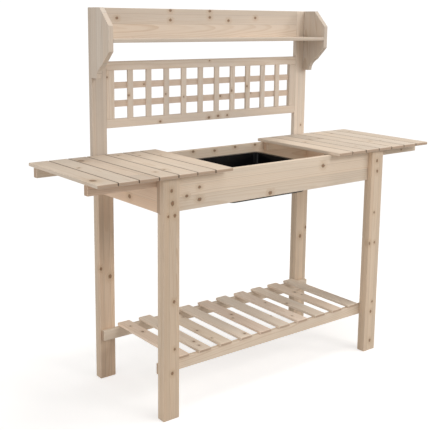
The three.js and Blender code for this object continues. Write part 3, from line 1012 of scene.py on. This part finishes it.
class BENCH_OT_basin(Operator):
    """Makes the lift-out basin as one moulded shell."""

    bl_idname = "bench.basin"
    bl_label = "Basin"

    def execute(self, context):
        low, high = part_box("basin")
        middle = (low + high) / 2
        half = (high - low) / 2
        form = bmesh.new()
        rings = []
        for inset, height, radius in basin_profile(context.scene.bench_basin, high.z, low.z):
            points = rounded_ring(half.x - inset, half.y - inset, radius, height)
            rings.append([form.verts.new(point + Vector((middle.x, middle.y, 0))) for point in points])
        for lower, upper in zip(rings, rings[1:]):
            for i, vert in enumerate(lower):
                after = (i + 1) % len(lower)
                form.faces.new((vert, lower[after], upper[after], upper[i]))
        form.faces.new(list(reversed(rings[0])))
        form.faces.new(rings[-1])
        piece = add_piece("basin_shell", form, Matrix.Translation(middle), plastic_material())
        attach(piece, BODY_OF["basin"])
        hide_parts("basin")
        return {"FINISHED"}


def studio_light(name, place, power, width, colour):
    """A square soft light that looks at the middle of the bench."""
    light = bpy.data.lights.new(name, "AREA")
    light.shape = "SQUARE"
    light.size = width
    light.energy = power
    light.color = colour
    lamp = bpy.data.objects.new(name, light)
    lamp.location = place
    lamp.rotation_euler = (Vector(LIGHT_TARGET) - Vector(place)).to_track_quat("-Z", "Y").to_euler()
    bpy.context.scene.collection.objects.link(lamp)


def add_floor(colour):
    """A round plain floor with a faint mottle, which fades out into the white room."""
    form = bmesh.new()
    bmesh.ops.create_circle(form, cap_ends=True, segments=96, radius=FLOOR_RADIUS)
    mesh = bpy.data.meshes.new("studio_floor")
    form.to_mesh(mesh)
    form.free()
    floor = bpy.data.objects.new("studio_floor", mesh)
    bpy.context.scene.collection.objects.link(floor)
    material, graph = new_material("pale_floor")
    place = graph.node("ShaderNodeTexCoord").outputs["Object"]
    mottle = graph.noise(place, scale=3.0, detail=3.0)
    darker = tuple(part * 0.98 for part in colour)
    reach = graph.vector("LENGTH", place)
    fade = graph.math("SUBTRACT", 1.0, graph.ease(reach, FLOOR_RADIUS * 0.45, FLOOR_RADIUS * 0.97))
    surface = graph.node("ShaderNodeBsdfPrincipled")
    surface.inputs["Specular IOR Level"].default_value = 0.1
    surface.inputs["Roughness"].default_value = 0.9
    surface.inputs["Emission Strength"].default_value = FLOOR_LIFT
    graph.feed(surface.inputs["Base Color"], graph.blend(mottle, colour4(darker), colour4(colour)))
    graph.feed(surface.inputs["Alpha"], fade)
    seen = graph.node("ShaderNodeLightPath").outputs["Is Camera Ray"]
    graph.feed(surface.inputs["Emission Color"], seen)
    show_surface(graph, surface)
    mesh.materials.append(material)


def add_room(strength):
    """Even, slightly warm light from all round; what the camera sees of it is plain white."""
    world = bpy.data.worlds.new("studio_room")
    world.use_nodes = True
    world.node_tree.nodes.clear()
    graph = Graph(world.node_tree)
    seen = graph.node("ShaderNodeLightPath").outputs["Is Camera Ray"]
    light = graph.node("ShaderNodeBackground")
    light.inputs["Color"].default_value = colour4(ROOM_COLOUR)
    light.inputs["Strength"].default_value = strength
    plain = graph.node("ShaderNodeBackground")
    plain.inputs["Strength"].default_value = 1.05
    plain.inputs["Color"].default_value = colour4(WHITE)
    mix = graph.node("ShaderNodeMixShader")
    graph.feed(mix.inputs[0], seen)
    graph.feed(mix.inputs[1], light.outputs["Background"])
    graph.feed(mix.inputs[2], plain.outputs["Background"])
    output = graph.node("ShaderNodeOutputWorld")
    graph.feed(output.inputs["Surface"], mix.outputs["Shader"])
    bpy.context.scene.world = world


def add_camera(studio):
    """The camera, set from its heading, pitch and roll."""
    lens = bpy.data.cameras.new("bench_camera")
    lens.lens = studio.lens
    lens.sensor_width = 36.0
    lens.shift_y = studio.shift
    lens.clip_end = 200.0
    camera = bpy.data.objects.new("bench_camera", lens)
    bpy.context.scene.collection.objects.link(camera)
    turn = Matrix.Rotation(-studio.heading, 4, "Z")
    tilt = Matrix.Rotation(math.pi / 2 - studio.pitch, 4, "X")
    spin = Matrix.Rotation(studio.roll, 4, "Z")
    camera.matrix_world = Matrix.Translation(Vector(studio.camera_place)) @ turn @ tilt @ spin
    bpy.context.scene.camera = camera


class BENCH_OT_studio(Operator):
    """Sets the floor, the lights and the camera."""

    bl_idname = "bench.studio"
    bl_label = "Studio"

    def execute(self, context):
        studio = context.scene.bench_studio
        add_camera(studio)
        add_floor(studio.floor_colour)
        add_room(studio.room_light)
        for name, light in LIGHTS.items():
            studio_light(name, *light)
        context.scene.view_settings.view_transform = "Standard"
        return {"FINISHED"}


class BENCH_PT_panel(Panel):
    """Lists the bench's pieces and their settings."""

    bl_idname = "BENCH_PT_panel"
    bl_label = "Potting bench"
    bl_space_type = "VIEW_3D"
    bl_region_type = "UI"
    bl_category = "Potting bench"

    def draw(self, context):
        layout = self.layout
        for operator in OPERATORS:
            layout.operator(operator.bl_idname)
        for name in SETTINGS:
            settings = getattr(context.scene, name)
            box = layout.box()
            for prop in settings.bl_rna.properties:
                if prop.identifier not in {"rna_type", "name"}:
                    box.prop(settings, prop.identifier)


SETTINGS = {
    "bench_fir": FirSettings,
    "bench_lattice": LatticeSettings,
    "bench_basin": BasinSettings,
    "bench_studio": StudioSettings,
}
OPERATORS = (
    BENCH_OT_studio,
    BENCH_OT_legs,
    BENCH_OT_aprons,
    BENCH_OT_sliding_tops,
    BENCH_OT_low_shelf,
    BENCH_OT_back,
    BENCH_OT_lattice,
    BENCH_OT_basin,
)
CLASSES = (*SETTINGS.values(), *OPERATORS, BENCH_PT_panel)


def register():
    for cls in CLASSES:
        bpy.utils.register_class(cls)
    for name, cls in SETTINGS.items():
        setattr(bpy.types.Scene, name, PointerProperty(type=cls))


def unregister():
    for name in SETTINGS:
        delattr(bpy.types.Scene, name)
    for cls in reversed(CLASSES):
        bpy.utils.unregister_class(cls)


def main():
    register()
    for operator in OPERATORS:
        area, name = operator.bl_idname.split(".")
        getattr(getattr(bpy.ops, area), name)()


if __name__ == "__main__":
    main()
